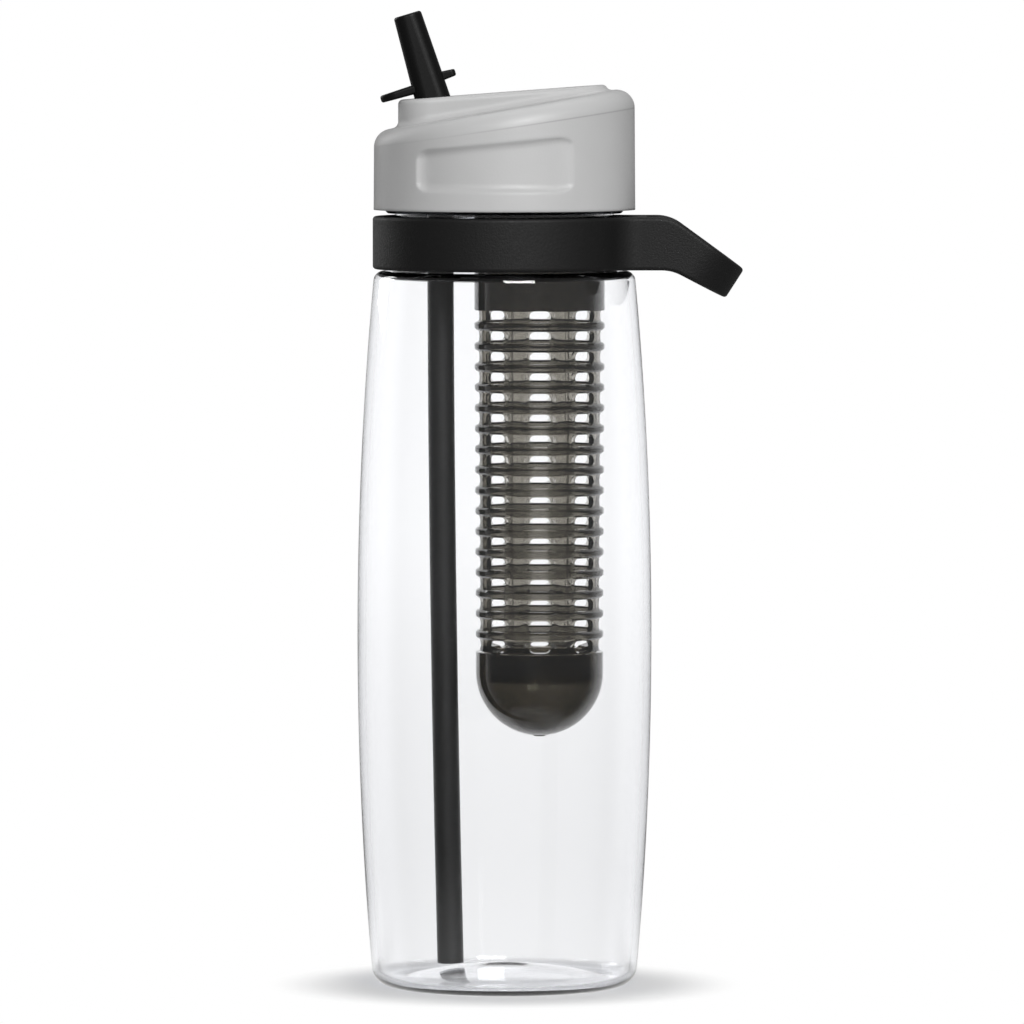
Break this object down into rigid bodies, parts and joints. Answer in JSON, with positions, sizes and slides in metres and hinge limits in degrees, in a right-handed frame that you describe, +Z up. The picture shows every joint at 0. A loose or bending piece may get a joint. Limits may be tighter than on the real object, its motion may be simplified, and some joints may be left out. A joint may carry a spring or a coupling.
{
  "type": "fruit infuser water bottle",
  "caption": "Clear barrel-shaped drinking bottle with a hanging slotted infuser basket, a straw, a screw lid with a flip-up spout, and a loose carry ring with a finger loop.",
  "frame": {"origin": "centre of the base's standing ring, on the bottle's axis, at the surface that the bottle stands on", "axes": "+Z up along the bottle's axis, +X towards the carry loop, the spout leans to -X"},
  "size_m": [0.102, 0.078, 0.2586],
  "materials": {
    "clear_copolyester": "clear, blow-moulded",
    "smoke_copolyester": "smoke-tinted, see-through, moulded",
    "grey_polypropylene": "fine satin",
    "black_polypropylene": "fine spark-eroded matte",
    "black_polyethylene": "extruded satin",
    "silicone": "matte"
  },
  "bodies": {
    "bottle": {"bottle_body": "clear_copolyester"},
    "carry_ring": {"carry_ring": "black_polypropylene"},
    "gasket": {"lid_gasket": "silicone"},
    "lid": {"lid_shell": "grey_polypropylene", "inner_cap": "black_polypropylene", "spout_seal": "silicone", "vent_valve": "silicone", "straw": "black_polyethylene"},
    "spout": {"spout": "black_polypropylene"},
    "infuser": {"infuser_basket": "smoke_copolyester"},
    "cup": {"infuser_cup": "smoke_copolyester"}
  },
  "joints": [
    {"name": "ring_spin", "type": "hinge", "parent": "bottle", "child": "carry_ring", "pos_m": [0, 0, 0.1973], "axis": [0, 0, 1], "continuous": true},
    {"name": "lid_rise", "type": "slide", "parent": "bottle", "child": "gasket", "axis": [0, 0, 1], "range_m": [0, 0.0062]},
    {"name": "lid_turn", "type": "hinge", "parent": "gasket", "child": "lid", "pos_m": [0, 0, 0.206], "axis": [0, 0, 1], "range_deg": [0, 540]},
    {"name": "spout_flip", "type": "hinge", "parent": "lid", "child": "spout", "pos_m": [-0.0175, 0, 0.2304], "axis": [0, 1, 0], "range_deg": [0, 102.5]},
    {"name": "infuser_twist", "type": "hinge", "parent": "lid", "child": "infuser", "pos_m": [0.0093, 0, 0.214], "axis": [0, 0, 1], "range_deg": [0, 60]},
    {"name": "cup_twist", "type": "hinge", "parent": "infuser", "child": "cup", "pos_m": [0.0093, 0, 0.086], "axis": [0, 0, 1], "range_deg": [0, 60]}
  ],
  "couplings": [
    {"joint": "lid_rise", "follows": "lid_turn", "m_per_rad": 0.00063662}
  ]
}
